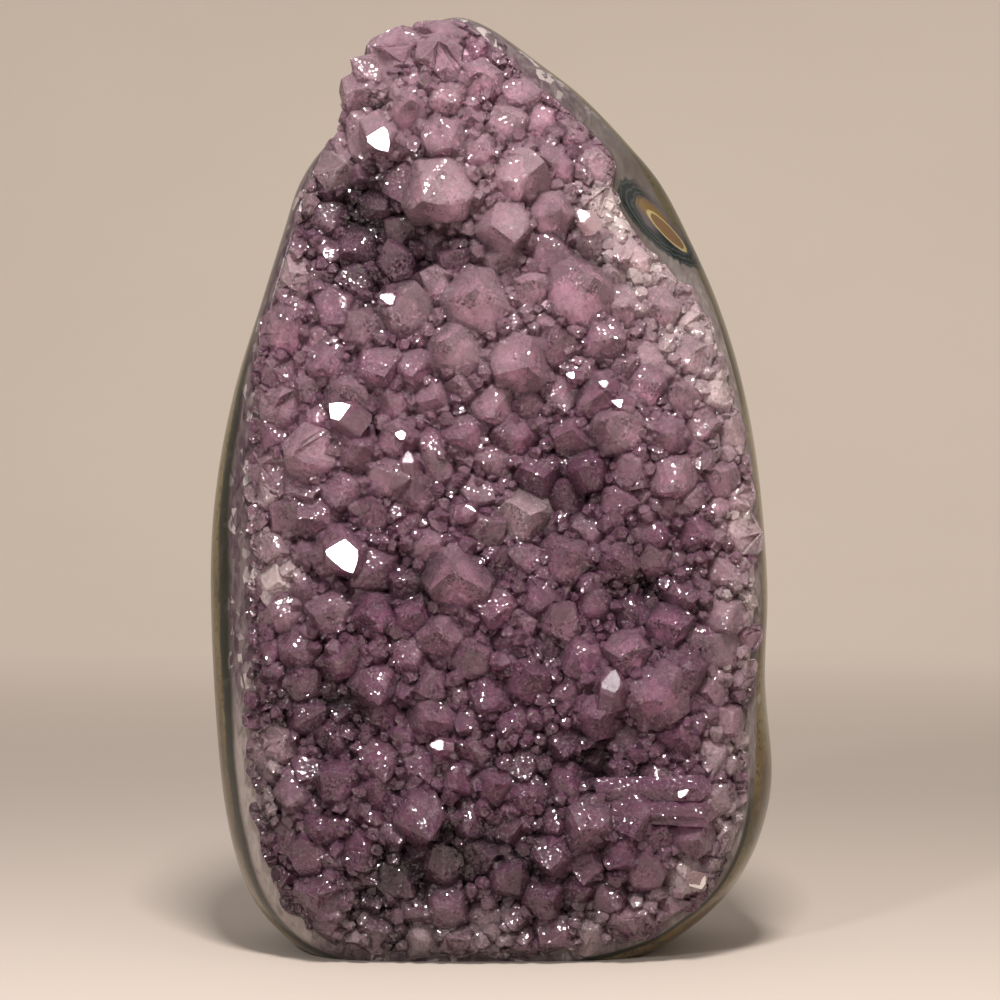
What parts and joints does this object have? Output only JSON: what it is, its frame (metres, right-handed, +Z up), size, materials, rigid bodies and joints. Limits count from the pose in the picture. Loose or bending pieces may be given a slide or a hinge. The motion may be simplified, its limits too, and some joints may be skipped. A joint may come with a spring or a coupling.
{
  "type": "polished amethyst cluster",
  "caption": "Free-standing egg-shaped piece of geode wall: a flat-based, polished agate and basalt matrix with a crust of violet quartz crystals over its whole front.",
  "frame": {"origin": "middle of the bounding box's footprint, on the plane that the flat base stands on", "axes": "+Z up from the flat base to the narrow top; the crystals face -Y; +X is to the right seen from the crystal side"},
  "size_m": [0.1228, 0.0824, 0.204],
  "materials": {
    "matrix_stone": "polished",
    "amethyst": "gloss"
  },
  "bodies": {
    "root": {"stone_matrix": "matrix_stone", "amethyst_crystals": "amethyst"}
  },
  "joints": []
}
